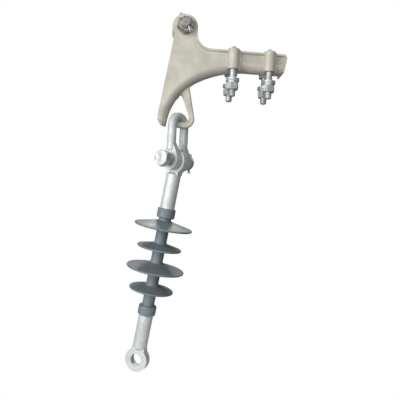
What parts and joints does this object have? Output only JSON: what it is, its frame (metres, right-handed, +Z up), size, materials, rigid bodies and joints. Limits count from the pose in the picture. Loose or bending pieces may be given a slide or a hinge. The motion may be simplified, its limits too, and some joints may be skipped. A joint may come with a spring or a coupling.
{
  "type": "composite insulator with strain clamp",
  "caption": "Rod insulator with alternating rubber sheds, hung by a U shackle from a bolted aluminium strain clamp for an overhead conductor.",
  "frame": {"origin": "on the axis of the clamp's clevis bolt, midway between its two ears", "axes": "+X along the clamp's arm, +Y along the clevis bolt towards its head, +Z up"},
  "size_m": [0.2397, 0.1064, 0.5808],
  "materials": {
    "cast_aluminium": "as cast, satin",
    "galvanised_steel": "hot-dip galvanised, dull",
    "silicone_rubber": "matt moulded rubber",
    "fibreglass_core": "pultruded resin and glass"
  },
  "bodies": {
    "clamp": {"clamp_body": "cast_aluminium", "clevis_bolt": "galvanised_steel", "clevis_nut": "galvanised_steel", "clevis_split_pin": "galvanised_steel"},
    "keeper": {"keeper": "cast_aluminium"},
    "inner_u_bolt_set": {"u_bolt_inner": "galvanised_steel", "inner_nuts": "galvanised_steel", "inner_spring_washers": "galvanised_steel", "inner_flat_washers": "galvanised_steel"},
    "outer_u_bolt_set": {"u_bolt_outer": "galvanised_steel", "outer_nuts": "galvanised_steel", "outer_spring_washers": "galvanised_steel", "outer_flat_washers": "galvanised_steel"},
    "shackle": {"shackle": "galvanised_steel"},
    "shackle_bolt_set": {"shackle_bolt": "galvanised_steel", "shackle_nut": "galvanised_steel", "shackle_split_pin": "galvanised_steel"},
    "insulator": {"upper_end_fitting": "galvanised_steel", "lower_end_fitting": "galvanised_steel", "core_rod": "fibreglass_core", "rubber_housing": "silicone_rubber"}
  },
  "joints": [
    {"name": "keeper_lift", "type": "slide", "parent": "clamp", "child": "keeper", "axis": [0, 0, 1], "range_m": [0, 0.0065]},
    {"name": "inner_u_bolt_lift", "type": "slide", "parent": "clamp", "child": "inner_u_bolt_set", "axis": [0, 0, 1], "range_m": [0, 0.0148]},
    {"name": "outer_u_bolt_lift", "type": "slide", "parent": "clamp", "child": "outer_u_bolt_set", "axis": [0, 0, 1], "range_m": [0, 0.0148]},
    {"name": "shackle_swing", "type": "hinge", "parent": "clamp", "child": "shackle", "pos_m": [-0.002, 0, -0.15475], "axis": [0, 1, 0], "range_deg": [-6, 6]},
    {"name": "shackle_bolt_slide", "type": "slide", "parent": "shackle", "child": "shackle_bolt_set", "axis": [0.6157, 0.788, 0], "range_m": [0, 0.0125]},
    {"name": "insulator_swing", "type": "hinge", "parent": "shackle", "child": "insulator", "pos_m": [-0.002, 0, -0.2131], "axis": [-0.6157, -0.788, 0], "range_deg": [-45, 45]}
  ]
}
